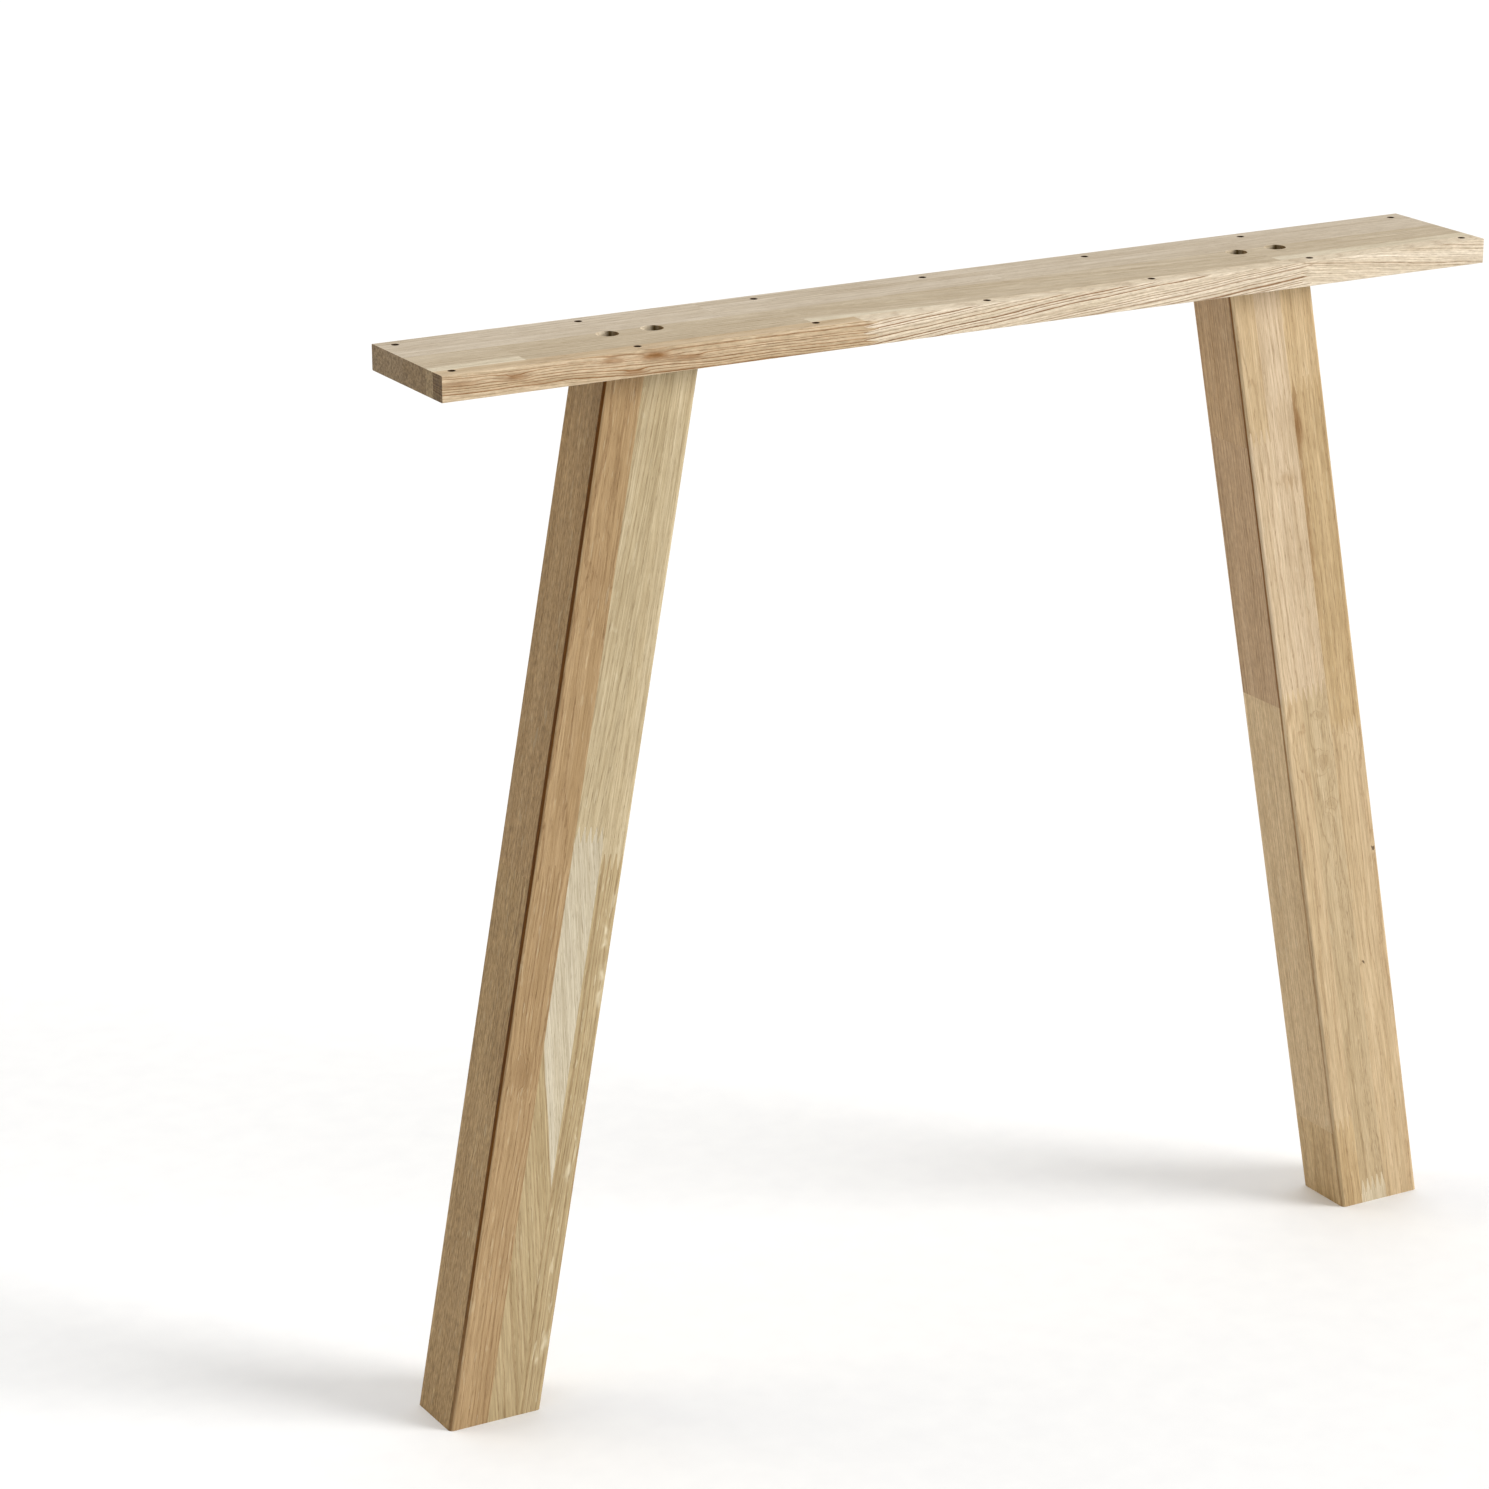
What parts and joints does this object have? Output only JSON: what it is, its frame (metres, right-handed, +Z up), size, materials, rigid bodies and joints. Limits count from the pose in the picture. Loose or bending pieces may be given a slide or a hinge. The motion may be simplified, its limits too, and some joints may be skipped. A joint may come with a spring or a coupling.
{
  "type": "trestle",
  "caption": "A-frame table trestle in laminated, finger-jointed oak: a flat drilled top board screwed onto splayed square-edged legs.",
  "frame": {"origin": "on the floor, under the middle of the top board", "axes": "+X along the board towards the right leg, +Y to the back, +Z up"},
  "size_m": [0.7956, 0.1, 0.72],
  "materials": {
    "oak_board": "clear matt oil on sanded oak",
    "oak_straw": "clear matt oil on sanded oak, light straw piece",
    "oak_honey": "clear matt oil on sanded oak, honey-coloured piece",
    "oak_brown": "clear matt oil on sanded oak, brown heartwood piece",
    "oak_olive": "clear matt oil on sanded oak, olive-grey piece",
    "oak_pale": "clear matt oil on sanded oak, pale sapwood piece",
    "blackened_steel": "black oxide, satin",
    "zinc_plated_steel": "bright zinc plate, satin"
  },
  "bodies": {
    "root": {"back_stave_1": "oak_board", "back_stave_2": "oak_board", "back_stave_3": "oak_board", "fixing_screws": "blackened_steel", "front_stave_1": "oak_board", "front_stave_2": "oak_board", "front_stave_3": "oak_board", "left_leg_inner_1": "oak_straw", "left_leg_inner_2": "oak_honey", "left_leg_middle_1": "oak_olive", "left_leg_middle_2": "oak_pale", "left_leg_outer_1": "oak_brown", "left_leg_outer_2": "oak_brown", "left_leg_outer_3": "oak_brown", "middle_stave_1": "oak_board", "middle_stave_2": "oak_board", "middle_stave_3": "oak_board", "middle_stave_4": "oak_board", "right_leg_inner_1": "oak_honey", "right_leg_inner_2": "oak_brown", "right_leg_inner_3": "oak_straw", "right_leg_inner_4": "oak_brown", "right_leg_middle_1": "oak_straw", "right_leg_middle_2": "oak_straw", "right_leg_middle_3": "oak_straw", "right_leg_middle_4": "oak_olive", "right_leg_middle_5": "oak_pale", "right_leg_outer_1": "oak_straw", "right_leg_outer_2": "oak_honey", "right_leg_outer_3": "oak_straw", "screw_washers": "zinc_plated_steel"}
  },
  "joints": []
}
